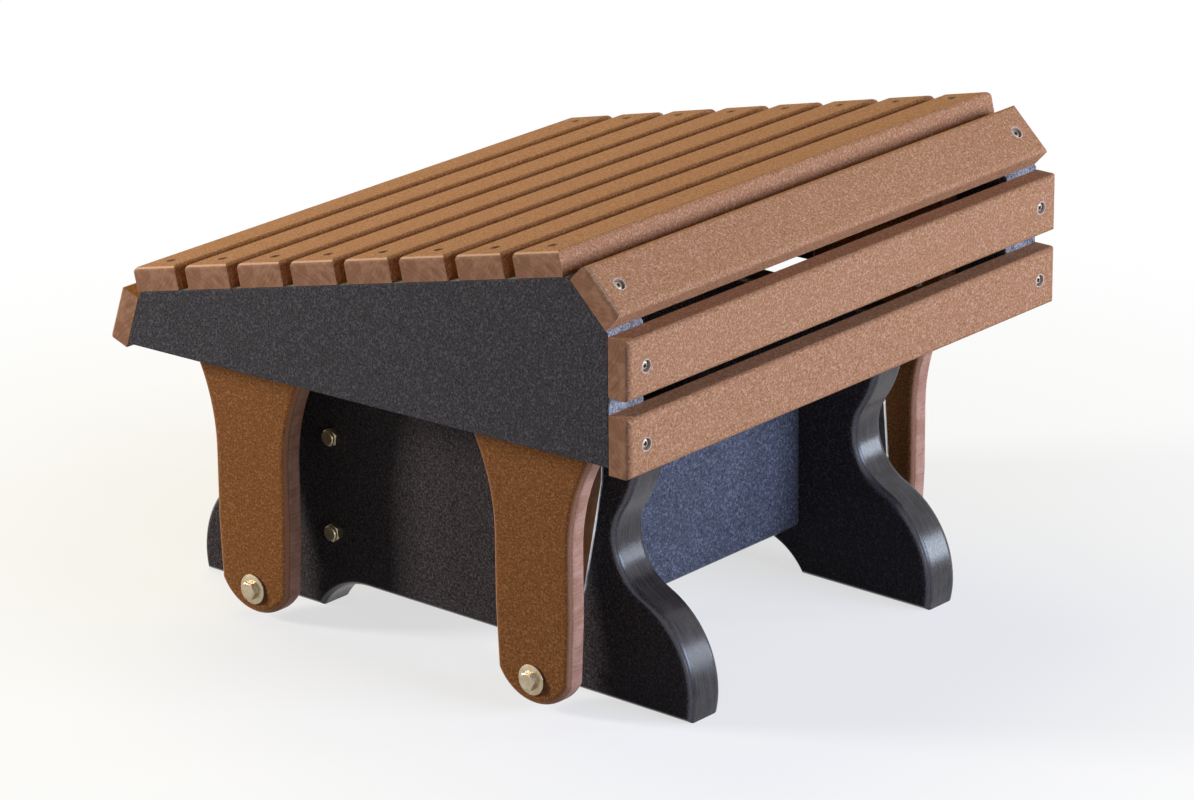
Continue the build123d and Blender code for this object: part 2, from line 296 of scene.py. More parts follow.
def solids_of(node: str) -> list[Solid]:
    """Boxes of the separate solids of a CAD node, from left to right, front to rear and low to high.

    Args:
        node: The node's name.

    Returns:
        One box for each solid.
    """
    mesh = bmesh.new()
    mesh.from_mesh(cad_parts[node].data)
    bmesh.ops.remove_doubles(mesh, verts=mesh.verts, dist=MERGE_DISTANCE)
    waiting = set(mesh.verts)
    found = []
    while waiting:
        border = [waiting.pop()]
        corners = []
        while border:
            vertex = border.pop()
            corners.append(vertex.co.copy())
            joined = {edge.other_vert(vertex) for edge in vertex.link_edges} & waiting
            waiting -= joined
            border += joined
        low = Vector(min(point[axis] for point in corners) for axis in range(3))
        high = Vector(max(point[axis] for point in corners) for axis in range(3))
        found.append(Solid(low, high))
    mesh.free()
    return sorted(found, key=lambda solid: [round(value, 4) for value in solid.middle])


def where(solid: Solid) -> str:
    """Words for a solid's end and side, for the names of pieces."""
    return f"{'front' if solid.middle.y < 0 else 'rear'}_{'right' if solid.side > 0 else 'left'}"


# ---------------------------------------------------------------------------
# Shader graphs
# ---------------------------------------------------------------------------

class Graph:
    """A node tree with short calls that add and join its nodes.

    An input takes a socket, a constant or None, which leaves it as it is.
    """

    def __init__(self, tree: Tree) -> None:
        """Start from the node tree of a material, a world or a group."""
        self.tree = tree

    @classmethod
    def of_material(cls, name: str) -> tuple["Graph", Material]:
        """Make an empty material.

        Args:
            name: The material's name.

        Returns:
            Its graph and the material.
        """
        material = bpy.data.materials.new(name)
        material.use_nodes = True
        material.node_tree.nodes.clear()
        return cls(material.node_tree), material

    def node(self, kind: str, values: dict[Any, Any] | None = None, **settings: Any) -> bpy.types.Node:
        """Add a node.

        Args:
            kind: The node's type, without the word ShaderNode.
            values: What feeds each named or numbered input.
            settings: Values of the node's properties.

        Returns:
            The node.
        """
        node = self.tree.nodes.new("ShaderNode" + kind)
        for name, value in settings.items():
            setattr(node, name, value)
        for key, value in (values or {}).items():
            self.feed(node.inputs[key], value)
        return node

    def feed(self, target: Socket, value: Any) -> None:
        """Fill an input.

        Args:
            target: The input.
            value: A socket to link, a constant to set, or None to leave the input alone.
        """
        if isinstance(value, bpy.types.NodeSocket):
            self.tree.links.new(value, target)
        elif value is not None:
            target.default_value = (*value, 1) if target.type == "RGBA" else value

    def group(self, tree: Tree, values: dict[str, Any]) -> Any:
        """Place a node group with its inputs and return its outputs."""
        return self.node("Group", values, node_tree=tree).outputs

    def show(self, shader: bpy.types.Node, output: str = "OutputMaterial") -> None:
        """Link a shader to a new output node."""
        self.feed(self.node(output).inputs["Surface"], shader.outputs[0])

    def math(self, operation: str, first: Any, second: Any = 0.0, clamp: bool = False) -> Socket:
        """Add a Math node and return its result."""
        return self.node("Math", {0: first, 1: second}, operation=operation, use_clamp=clamp).outputs[0]

    def times(self, first: Any, second: Any) -> Socket:
        """Multiply two numbers."""
        return self.math("MULTIPLY", first, second)

    def plus(self, first: Any, second: Any) -> Socket:
        """Add two numbers."""
        return self.math("ADD", first, second)

    def vector(self, operation: str, first: Any, second: Any) -> Socket:
        """Add a Vector Math node and return its vector."""
        return self.node("VectorMath", {0: first, 1: second}, operation=operation).outputs["Vector"]

    def measure(self, operation: str, first: Any, second: Any = None) -> Socket:
        """Add a Vector Math node and return its number."""
        return self.node("VectorMath", {0: first, 1: second}, operation=operation).outputs["Value"]

    def axes(self, vector: Socket) -> Any:
        """Split a vector into its three numbers."""
        return self.node("SeparateXYZ", {0: vector}).outputs

    def point(self, x: Any, y: Any, z: Any = 0.0) -> Socket:
        """Join three numbers into a vector."""
        return self.node("CombineXYZ", {0: x, 1: y, 2: z}).outputs[0]

    def mix(self, share: Any, first: Any, second: Any) -> Socket:
        """Mix two colours by the share of the second one."""
        return self.node("Mix", {0: share, 6: first, 7: second}, data_type="RGBA").outputs[2]

    def lay(self, colour: Any, mask: Socket, share: float, over: Colour) -> Socket:
        """Lay a colour over another one where a mask is, at most up to a share."""
        return self.mix(self.times(mask, share), colour, over)

    def sway(self, middle: float, width: float, mask: Socket) -> Socket:
        """Let a mask move a number within a width about its middle."""
        return self.plus(middle - width / 2, self.times(mask, width))

    def spread(self, value: Any, low: float, high: float, to_low: float = 0.0,
               to_high: float = 1.0) -> Socket:
        """Map the range from low to high smoothly onto another one."""
        values = {"Value": value, "From Min": low, "From Max": high, "To Min": to_low, "To Max": to_high}
        return self.node("MapRange", values, interpolation_type="SMOOTHSTEP").outputs["Result"]

    def noise(self, place: Any, scale: Any, detail: float = 2.0, roughness: float = 0.5,
              distortion: float = 0.0) -> Socket:
        """Add a noise texture and return its value."""
        values = {"Vector": place, "Scale": scale, "Detail": detail, "Roughness": roughness,
                  "Distortion": distortion}
        return self.node("TexNoise", values, noise_dimensions="3D").outputs[0]

    def bump(self, height: Any, distance: float, normal: Socket | None = None) -> Socket:
        """Turn a height into a normal, on top of another one where it is given."""
        values = {"Height": height, "Distance": distance, "Strength": 1.0, "Normal": normal}
        return self.node("Bump", values).outputs["Normal"]


class GroupBuilder(Graph):
    """A shader node group under construction."""

    def __init__(self, name: str, vectors: list[str], numbers: list[str], results: list[str]) -> None:
        """Make a group with its sockets.

        Args:
            name: The group's name.
            vectors, numbers: Names of its inputs of either kind.
            results: Names of its outputs, which are all numbers.
        """
        super().__init__(bpy.data.node_groups.new(name, "ShaderNodeTree"))
        kinds = (("INPUT", "Vector", vectors), ("INPUT", "Float", numbers), ("OUTPUT", "Float", results))
        for way, kind, labels in kinds:
            for label in labels:
                self.tree.interface.new_socket(name=label, in_out=way, socket_type="NodeSocket" + kind)
        sockets = self.tree.nodes.new("NodeGroupInput").outputs
        self.given = [sockets[label] for label in vectors + numbers]
        self.results = self.tree.nodes.new("NodeGroupOutput").inputs

    def close(self, *values: Socket) -> Tree:
        """Link the group's outputs in their order.

        Args:
            values: One value for each output.

        Returns:
            The group's tree.
        """
        for target, value in zip(self.results, values):
            self.tree.links.new(value, target)
        return self.tree


@cache
def board_grain() -> Tree:
    """Speckled skin of a moulded board.

    Returns:
        The group of its light, dark and tinted flecks and their height.
    """
    graph = GroupBuilder("board_grain", ["Vector", "Seed"], ["Scale"], ["Light", "Dark", "Tint", "Height"])
    vector, seed, scale = graph.given
    pit_scale, tint_scale, pit_height = 1.1, 0.45, 0.6
    turn, shift = (-1, 1, -1), (0.31, 0.17, 0.23)
    moved = graph.vector("ADD", vector, seed)
    apart = graph.vector("ADD", graph.vector("MULTIPLY", moved, turn), shift)
    flecks = graph.noise(moved, scale, detail=1.5, roughness=0.6)
    pits = graph.noise(apart, graph.times(scale, pit_scale), detail=1.5, roughness=0.6)
    tint = graph.noise(apart, graph.times(scale, tint_scale), roughness=0.7)
    return graph.close(graph.spread(flecks, 0.5, 0.64), graph.spread(pits, 0.5, 0.36),
                       graph.spread(tint, 0.42, 0.6), graph.plus(flecks, graph.times(pits, pit_height)))


@cache
def saw_lines() -> Tree:
    """Fine lines that a saw or cutter leaves, stretched along two of the axes.

    Returns:
        The group of the lines and their blotches.
    """
    graph = GroupBuilder("saw_lines", ["Vector", "Seed", "Spacing"], [], ["Lines", "Blotch"])
    vector, seed, spacing = graph.given
    moved = graph.vector("ADD", vector, seed)
    lines = graph.noise(graph.vector("DIVIDE", moved, spacing), 1.0, roughness=0.6, distortion=0.6)
    blotch = graph.noise(moved, scale=70.0)
    return graph.close(graph.spread(lines, 0.32, 0.68), graph.spread(blotch, 0.38, 0.62))


@cache
def saw_arcs() -> Tree:
    """Faint arcs that a round blade leaves on a sawn end, about a centre beside the board.

    Returns:
        The group of the arcs and their blotches.
    """
    graph = GroupBuilder("saw_arcs", ["Vector", "Centre"], ["Spacing"], ["Lines", "Blotch"])
    vector, centre, spacing = graph.given
    changes_along_arc = 40.0
    x, y, z = graph.axes(vector)
    ring = graph.math("DIVIDE", graph.measure("DISTANCE", graph.point(0.0, y, z), centre), spacing)
    lines = graph.noise(graph.point(ring, graph.times(z, changes_along_arc), x), 1.0, roughness=0.6)
    blotch = graph.noise(vector, scale=120.0)
    return graph.close(graph.spread(lines, 0.34, 0.66), graph.spread(blotch, 0.38, 0.62))


@cache
def dust() -> Tree:
    """Scattered specks of dust.

    Returns:
        The group of the specks.
    """
    graph = GroupBuilder("dust", ["Vector", "Seed"], ["Scale"], ["Specks"])
    vector, seed, scale = graph.given
    moved = graph.vector("ADD", vector, seed)
    cells = graph.node("TexVoronoi", {"Vector": moved, "Scale": scale})
    near = graph.spread(cells.outputs["Distance"], 0.09, 0.03)
    chosen = graph.spread(graph.noise(moved, scale=23.0, detail=1.0), 0.56, 0.66)
    return graph.close(graph.times(near, chosen))


@cache
def facing() -> Tree:
    """Parts of a board, told by how squarely they face along an axis.

    Returns:
        The group of the masks of its sides, its edges and the slopes between them.
    """
    graph = GroupBuilder("facing", ["Normal", "Axis"], [], ["Side", "Edge", "Corner"])
    squareness = graph.math("ABSOLUTE", graph.measure("DOT_PRODUCT", *graph.given))
    past_edge = graph.spread(squareness, 0.42, 0.6)
    before_side = graph.spread(squareness, 0.94, 0.8)
    return graph.close(graph.spread(squareness, 0.78, 0.92), graph.spread(squareness, 0.55, 0.3),
                       graph.times(past_edge, before_side))


@cache
def drilled_rim() -> Tree:
    """Screw holes of a slat, at one distance on either side of its middle.

    Returns:
        The group of the masks of the holes' chalky rims and of what lies inside them.
    """
    graph = GroupBuilder("drilled_rim", ["Vector"], ["Distance", "Radius"], ["Rim", "Inside"])
    vector, distance, radius = graph.given
    wobble, wall, rim_end, rim_start = 1.2 * MM, 0.05 * MM, 1.0 * MM, 0.6 * MM
    x, y, _ = graph.axes(vector)
    from_middle = graph.math("SUBTRACT", graph.math("ABSOLUTE", x), distance)
    length = graph.measure("LENGTH", graph.point(from_middle, y))
    chance = graph.math("SUBTRACT", graph.noise(vector, scale=900.0, detail=1.0), 0.5)
    uneven = graph.plus(length, graph.times(chance, wobble))
    outside = graph.spread(graph.math("SUBTRACT", uneven, radius), rim_end, rim_start)
    inside = graph.math("LESS_THAN", length, graph.math("SUBTRACT", radius, wall))
    return graph.close(graph.math("SUBTRACT", outside, inside, clamp=True), inside)


@cache
def plating() -> Tree:
    """Blotches and fine scratches of a plated or moulded surface.

    Returns:
        The group of both and their height.
    """
    graph = GroupBuilder("plating", ["Vector"], ["Scale"], ["Blotch", "Scratch", "Height"])
    vector, scale = graph.given
    stretch, scratch_scale, scratch_height = (0.2, 1, 1), 9.0, 0.3
    blotch = graph.noise(vector, scale, detail=3.0, roughness=0.6, distortion=0.8)
    drawn = graph.vector("MULTIPLY", vector, stretch)
    scratch = graph.noise(drawn, graph.times(scale, scratch_scale), roughness=0.7)
    return graph.close(graph.spread(blotch, 0.35, 0.65), graph.spread(scratch, 0.4, 0.65),
                       graph.plus(blotch, graph.times(scratch, scratch_height)))


# ---------------------------------------------------------------------------
# Finishes
# ---------------------------------------------------------------------------

@dataclass(frozen=True)
class BoardPlace:
    """Where a board and its screw holes lie, so that its pattern follows them."""

    origin: Vector = Vector((0, 0, 0))
    turn: float = 0.0
    seed: float = 0.0
    hole_distance: float = 0.0
    hole_radius: float = 0.0
    rim_share: float = 0.0
    axis: tuple[float, float, float] = (1, 0, 0)

    @property
    def seed_vector(self) -> tuple[float, float, float]:
        """Shift that gives each board a grain of its own, in metres."""
        return (1.7 * self.seed, 0.9 * self.seed, 1.3 * self.seed)


@dataclass(frozen=True)
class BoardFinish:
    """Speckled plastic lumber with sawn or routed faces."""

    skin: Colour
    light: Colour
    dark: Colour
    tint: Colour
    cut: Colour
    cut_dark: Colour
    # Colour of the rounded slopes between faces; where only the upward slopes keep it, as on the deck, it is
    # a painted highlight.
    corner: Colour
    cut_faces: CutFaces
    line_spacing: tuple[float, float, float]
    # Painted shade laid inside the screw holes.
    bore: Colour = linear(70, 44, 30)
    chalk: Colour = linear(208, 188, 172)
    speck: Colour = linear(200, 196, 190)
    light_share: float = 0.8
    dark_share: float = 0.8
    tint_share: float = 0.4
    corner_share: float = 0.5
    bore_shade_share: float = 0.8
    dust_share: float = 0.0
    line_share: float = 0.7
    grain_scale: float = 560.0
    dust_scale: float = 260.0
    # How far up a rounded slope must face to take the painted highlight on boards with sawn ends.
    highlight_upward: tuple[float, float] = (0.5, 0.64)
    roughness: float = 0.6
    roughness_sway: float = 0.1
    cut_roughness: float = 0.5
    cut_sway: float = 0.12
    specular: float = 0.08
    coat: float = 0.0
    corner_coat: float = 0.0
    coat_roughness: float = 0.2
    relief: float = 0.12 * MM
    line_relief: float = 0.02 * MM

    def marks(self, graph: Graph, local: Socket, place: BoardPlace) -> Any:
        """Add the marks of the saw or the router.

        Args:
            graph: The material's graph.
            local: The board's own coordinates.
            place: Where the board lies.

        Returns:
            Outputs of the group that draws them.
        """
        if self.cut_faces is CutFaces.EDGES:
            values = {"Vector": local, "Seed": place.seed_vector, "Spacing": self.line_spacing}
            return graph.group(saw_lines(), values)
        across, along, spacing = self.line_spacing
        centre = (0.0, across, along * (1 if place.seed % 2 < 1 else -1))
        return graph.group(saw_arcs(), {"Vector": local, "Centre": centre, "Spacing": spacing})

    def corners(self, graph: Graph, corner: Socket, normal: Socket) -> Socket:
        """Keep the slopes between a board's faces, and on a board with sawn ends only those that face up,
        which take a painted highlight.

        Args:
            graph: The material's graph.
            corner: Mask of all the slopes.
            normal: The surface's own normal.

        Returns:
            The mask of the slopes that are kept.
        """
        if self.cut_faces is CutFaces.EDGES:
            return corner
        return graph.times(corner, graph.spread(graph.axes(normal)["Z"], *self.highlight_upward))

    def drilled(self, graph: Graph, colour: Socket, local: Socket, place: BoardPlace) -> Socket:
        """Lay the rims and the shade of a slat's screw holes over its colour.

        Args:
            graph: The material's graph.
            colour: The slat's colour.
            local: The slat's own coordinates.
            place: Where the slat lies and its holes are.

        Returns:
            The colour with its holes.
        """
        values = {"Vector": local, "Distance": place.hole_distance, "Radius": place.hole_radius}
        hole = graph.group(drilled_rim(), values)
        colour = graph.lay(colour, hole["Rim"], place.rim_share, self.chalk)
        # Painted shade inside the screw holes.
        return graph.lay(colour, hole["Inside"], self.bore_shade_share, self.bore)

    def material(self, name: str, place: BoardPlace) -> Material:
        """Make the material of one board.

        Args:
            name: The material's name.
            place: Where the board lies.

        Returns:
            The material.
        """
        graph, material = Graph.of_material(name)
        given = graph.node("TexCoord").outputs
        local = graph.node("Mapping", {"Vector": given["Object"], "Location": place.origin,
                                       "Rotation": (place.turn, 0, 0)}, vector_type="TEXTURE").outputs[0]
        own_grain = {"Vector": local, "Seed": place.seed_vector}
        grain = graph.group(board_grain(), {**own_grain, "Scale": self.grain_scale})
        marks = self.marks(graph, local, place)
        faces = graph.group(facing(), {"Normal": given["Normal"], "Axis": place.axis})
        cut = faces["Side" if self.cut_faces is CutFaces.ENDS else "Edge"]
        corner = self.corners(graph, faces["Corner"], given["Normal"])

        skin = graph.lay(self.skin, grain["Tint"], self.tint_share, self.tint)
        skin = graph.lay(skin, grain["Light"], self.light_share, self.light)
        skin = graph.lay(skin, grain["Dark"], self.dark_share, self.dark)
        worn = graph.plus(graph.times(marks["Lines"], self.line_share),
                          graph.times(marks["Blotch"], 1 - self.line_share))
        sawn = graph.mix(worn, self.cut_dark, self.cut)
        sawn = graph.lay(sawn, grain["Dark"], self.dark_share / 2, self.cut_dark)
        # On boards with sawn ends the corner colour laid here is a painted highlight on the upward rounded
        # edges.
        colour = graph.lay(graph.mix(cut, skin, sawn), corner, self.corner_share, self.corner)
        if place.hole_radius:
            colour = self.drilled(graph, colour, local, place)
        if self.dust_share:
            specks = graph.group(dust(), {**own_grain, "Scale": self.dust_scale})["Specks"]
            colour = graph.lay(colour, specks, self.dust_share, self.speck)

        rough = {0: cut, 2: graph.sway(self.roughness, self.roughness_sway, grain["Light"]),
                 3: graph.sway(self.cut_roughness, self.cut_sway, marks["Lines"])}
        grain_normal = graph.bump(grain["Height"], self.relief)
        values = {"Base Color": colour, "Roughness": graph.node("Mix", rough, data_type="FLOAT").outputs[0],
                  "Normal": graph.bump(graph.times(marks["Lines"], cut), self.line_relief, grain_normal),
                  "Specular IOR Level": self.specular}
        if self.corner_coat:
            polished, routed = graph.times(corner, self.corner_coat), graph.times(cut, self.coat)
            values |= {"Coat Weight": graph.math("ADD", polished, routed, clamp=True),
                       "Coat Roughness": self.coat_roughness}
        graph.show(graph.node("BsdfPrincipled", values))
        return material


@dataclass(frozen=True)
class HardFinish:
    """Plated or bright steel, or smooth moulded plastic where it isn't metallic."""

    colour: Colour
    tint: Colour
    roughness: float
    roughness_sway: float = 0.14
    tint_share: float = 1.0
    metallic: float = 1.0
    scale: float = 160.0
    relief: float = 0.03 * MM

    def material(self, name: str) -> Material:
        """Make the material of one piece or a set of pieces.

        Args:
            name: The material's name.

        Returns:
            The material.
        """
        graph, material = Graph.of_material(name)
        place = graph.node("TexCoord").outputs["Object"]
        marks = graph.group(plating(), {"Vector": place, "Scale": self.scale})
        values = {"Base Color": graph.lay(self.colour, marks["Blotch"], self.tint_share, self.tint),
                  "Metallic": self.metallic, "Normal": graph.bump(marks["Height"], self.relief),
                  "Roughness": graph.sway(self.roughness, self.roughness_sway, marks["Scratch"])}
        graph.show(graph.node("BsdfPrincipled", values))
        return material


# The deck's pale corner colour is a painted highlight on the slats' upward rounded edges.
DECK_FINISH = BoardFinish(
    skin=linear(170, 122, 84), light=linear(199, 154, 118), dark=linear(140, 94, 59),
    tint=linear(179, 126, 100), cut=linear(166, 126, 104), cut_dark=linear(134, 96, 75),
    corner=linear(206, 172, 154), cut_faces=CutFaces.ENDS, line_spacing=(0.045, 0.06, 0.0016),
    corner_share=0.8, line_share=0.4, specular=0.02, corner_coat=0.4)
LEG_FINISH = BoardFinish(
    skin=linear(125, 79, 41), light=linear(158, 109, 70), dark=linear(92, 54, 28), tint=linear(131, 82, 40),
    cut=linear(193, 148, 124), cut_dark=linear(154, 110, 87), corner=linear(194, 144, 116),
    cut_faces=CutFaces.EDGES, line_spacing=(0.02, 0.0012, 0.0012), corner_share=0.6, line_share=0.5)
SIDE_FINISH = BoardFinish(
    skin=linear(67, 64, 66), light=linear(97, 95, 103), dark=linear(34, 31, 32), tint=linear(60, 60, 76),
    cut=linear(172, 171, 170), cut_dark=linear(62, 63, 66), corner=linear(66, 64, 70),
    cut_faces=CutFaces.EDGES, line_spacing=(0.0015, 0.002, 0.002), corner_share=0.3, dust_share=0.3,
    specular=0.04)
BASE_FINISH = BoardFinish(
    skin=linear(61, 55, 55), light=linear(92, 88, 91), dark=linear(33, 28, 28), tint=linear(56, 53, 60),
    cut=linear(70, 63, 60), cut_dark=linear(25, 22, 21), corner=linear(58, 57, 60),
    cut_faces=CutFaces.EDGES, line_spacing=(0.0006, 0.03, 0.03), corner_share=0.6, dust_share=0.5,
    cut_roughness=0.4, specular=0.03, coat=0.66, corner_coat=1.0, coat_roughness=0.24,
    line_relief=0.08 * MM)
# The cross panels are the base boards' black plastic painted lighter and bluer, standing in for the cool
# front light on them.
CROSS_FINISH = replace(
    BASE_FINISH, skin=linear(81, 82, 88), light=linear(112, 114, 122), dark=linear(54, 54, 59),
    tint=linear(66, 69, 82), tint_share=0.6, coat=0.0)
ZINC = HardFinish(linear(182, 172, 152), linear(174, 155, 122), roughness=0.39)
STRAP_STEEL = HardFinish(linear(210, 208, 202), linear(190, 188, 182), roughness=0.37, scale=90.0)
STAINLESS = HardFinish(linear(184, 177, 162), linear(164, 156, 140), roughness=0.43, scale=300.0)
BUSHING = HardFinish(
    linear(34, 34, 36), linear(52, 52, 54), roughness=0.43, roughness_sway=0.1, tint_share=0.5,
    metallic=0.0, scale=220.0, relief=0.01 * MM)
UPPER_INSERT = replace(BUSHING, colour=linear(112, 54, 60), tint=linear(144, 82, 84), roughness=0.47)
LOWER_INSERT = replace(BUSHING, colour=linear(106, 108, 82), tint=linear(130, 128, 102), roughness=0.47)


# ---------------------------------------------------------------------------
# Fasteners
# ---------------------------------------------------------------------------

def thread(start: float, end: float, pitch: float, radius: float, depth: float) -> list[tuple[float, float]]:
    """Profile of a thread's ridges.

    Args:
        start, end: Places of its ends along X.
        pitch: Distance between ridges.
        radius: Radius at the ridges' tops.
        depth: Depth of the grooves.

    Returns:
        Points of the profile.
    """
    count = int((end - start) / pitch)
    profile = []
    for index in range(count):
        profile.append((start + index * pitch, radius - depth))
        profile.append((start + (index + 0.5) * pitch, radius))
    profile.append((start + count * pitch, radius - depth))
    return profile


def hexagon(name: str, flats: float, start: float, end: float, crown_radius: float, both: bool) -> Object:
    """Hexagonal bar along X with a flat up, whose corners are cut to a cone at one end or both.

    Args:
        name: Name of the new object.
        flats: Width across the flats, in metres.
        start, end: Places of its ends along X.
        crown_radius: Radius of the round face that the cone leaves at an end.
        both: True where both ends are cut, and not only the one at the start.

    Returns:
        The new object.
    """
    bar = primitive(bpy.ops.mesh.primitive_cylinder_add, name, vertices=6, radius=flats / math.sqrt(3),
                    depth=end - start, location=((start + end) / 2, 0, 0), rotation=LAID_ALONG_X)
    finish_mesh(bar)
    fall = (flats - crown_radius) / math.sqrt(3)
    profile = [(start, crown_radius), (start + fall, flats)]
    profile += [(end - fall, flats), (end, crown_radius)] if both else [(2 * end - start, flats)]
    combine(bar, turned("chamfer", profile, FINE_RING), "INTERSECT")
    return bar


@dataclass
class Bolt:
    """Shank along +X with a machine thread up to its tip."""

    shank_radius: float = 4.0 * MM
    thread_length: float = 24.0 * MM
    thread_pitch: float = 1.25 * MM
    thread_depth: float = 0.45 * MM
    tip_bevel: float = 0.8 * MM

    def end_profile(self, length: float) -> list[tuple[float, float]]:
        """Outline of the thread and the tip.

        Args:
            length: Place of the tip along X.

        Returns:
            Points of the profile.
        """
        start = length - self.thread_length + self.thread_pitch
        ridges = thread(start, length - self.tip_bevel, self.thread_pitch, self.shank_radius,
                        self.thread_depth)
        return [*ridges, (length, self.shank_radius - self.tip_bevel)]


@dataclass
class HexBolt(Bolt):
    """Hexagon head bolt with its head's underside at the origin."""

    flats: float = 12.7 * MM
    head_height: float = 5.3 * MM
    crown_radius: float = 5.95 * MM
    edge_round: float = 0.18 * MM

    def model(self, length: float) -> Object:
        """Model a hexagon head bolt.

        Args:
            length: Length under the head.

        Returns:
            The model.
        """
        shank = turned("bolt", [(-self.head_height / 2, self.shank_radius),
                                (length - self.thread_length, self.shank_radius), *self.end_profile(length)])
        head = hexagon("bolt_head", self.flats, -self.head_height, 0, self.crown_radius, both=False)
        soften(head, self.edge_round, sharpest=25)
        combine(shank, head, "UNION")
        return finish_mesh(shank)


@dataclass
class HangerBolt(Bolt):
    """Headless bolt with the point of a wood thread at the origin."""

    wood_length: float = 40.0 * MM
    wood_pitch: float = 3.2 * MM
    point_length: float = 6.0 * MM
    point_radius: float = 0.4 * MM

    def model(self, length: float) -> Object:
        """Model a hanger bolt.

        Args:
            length: Its whole length.

        Returns:
            The model.
        """
        radius = self.shank_radius
        profile = [(0, self.point_radius), (self.point_length, radius - 3 * self.thread_depth)]
        profile += thread(self.point_length + MM, self.wood_length, self.wood_pitch, radius,
                          2 * self.thread_depth)
        profile += [(self.wood_length + self.wood_pitch, radius), (length - self.thread_length, radius)]
        return turned("hanger_bolt", profile + self.end_profile(length))


@dataclass
class LockNut:
    """Lock nut with a round collar over a nylon ring. It sits on the origin and rises along +X."""

    flats: float = 12.7 * MM
    height: float = 8.5 * MM
    hexagon_height: float = 6.0 * MM
    crown_radius: float = 6.0 * MM
    collar_radius: float = 5.85 * MM
    collar_round: float = 0.35 * MM
    collar_inset: float = 0.3 * MM
    lip_radius: float = 4.85 * MM
    bore_radius: float = 4.03 * MM
    ring_drop: float = 0.45 * MM
    ring_slack: float = 0.02 * MM
    ring_bevel: float = 0.2 * MM
    ring_inset: float = 0.25 * MM

    def model(self) -> Object:
        """Model the nut without its ring.

        Returns:
            The model.
        """
        seat, top = self.hexagon_height, self.height
        nut = hexagon("lock_nut", self.flats, 0, seat, self.crown_radius, both=True)
        collar = [(seat / 2, self.collar_radius), (top - MM, self.collar_radius),
                  (top - self.collar_round, self.collar_radius - self.collar_inset),
                  (top, self.lip_radius + self.collar_round), (top, self.lip_radius)]
        combine(nut, turned("collar", collar, FINE_RING), "UNION")
        bore = [(-MM, self.bore_radius), (seat, self.bore_radius), (seat, self.lip_radius),
                (top + MM, self.lip_radius)]
        combine(nut, turned("bore", bore, FINE_RING), "DIFFERENCE")
        return finish_mesh(nut)

    def ring_model(self) -> Object:
        """Model the nylon ring.

        Returns:
            The model.
        """
        low, high = self.hexagon_height + self.ring_slack, self.height - self.ring_drop
        outer, inner = self.lip_radius - self.ring_slack, self.bore_radius
        profile = [(low, inner), (low, outer), (high - self.ring_bevel, outer),
                   (high, outer - self.ring_inset), (high, inner + self.ring_bevel),
                   (high - self.ring_bevel, inner)]
        return turned("nylon_ring", profile, segments=40, closed=True)


@dataclass
class RoundPart:
    """Washer or spacer: a ring along +X from the origin with softened edges."""

    outer_radius: float
    inner_radius: float
    thickness: float
    edge: float = 0.35 * MM
    edge_bulge: float = 0.3

    def model(self, name: str) -> Object:
        """Model the ring.

        Args:
            name: Name of the new object.

        Returns:
            The model.
        """
        edge = min(self.edge, self.thickness / 3)
        half_round = self.edge_bulge * edge
        outer, inner, end = self.outer_radius, self.inner_radius, self.thickness
        profile = [(0, inner), (0, outer - edge), (half_round, outer - half_round), (edge, outer),
                   (end - edge, outer), (end - half_round, outer - half_round), (end, outer - edge),
                   (end, inner)]
        return turned(name, profile, FINE_RING, closed=True)


@dataclass
class WoodScrew:
    """Pan-head screw with a square recess. Its head's underside is at the origin, its tip along +X.

    The crown is a list of rings: how far each lies below the top, and its share of the head's radius.
    """

    head_radius: float
    head_height: float
    shank_radius: float
    length: float
    crown: Profile = ((0, 0.62), (0.12 * MM, 0.78), (0.45 * MM, 0.93), (1.0 * MM, 1))
    rim: float = 0.25 * MM
    neck: float = 4.0 * MM
    point_length: float = 5.0 * MM
    point_radius: float = 0.2 * MM
    recess: float = 2.8 * MM
    recess_depth: float = 3.6 * MM
    pitch: float = 2.4 * MM
    thread_depth: float = 0.6 * MM

    def model(self) -> Object:
        """Model the screw.

        Returns:
            The model.
        """
        top, radius, shank = -self.head_height, self.head_radius, self.shank_radius
        profile = [(top + drop, share * radius) for drop, share in self.crown]
        profile += [(-self.rim, radius), (0, radius - self.rim), (0, shank), (self.neck, shank)]
        profile += thread(self.neck + MM, self.length - self.point_length, self.pitch, shank,
                          self.thread_depth)
        screw = turned("wood_screw", [*profile, (self.length, self.point_radius)], segments=28)
        punch = primitive(bpy.ops.mesh.primitive_cube_add, "punch", size=1, location=(top, 0, 0),
                          scale=(2 * self.recess_depth, self.recess, self.recess))
        combine(screw, punch, "DIFFERENCE")
        return finish_mesh(screw)


# ---------------------------------------------------------------------------
# Sub-assemblies
# ---------------------------------------------------------------------------

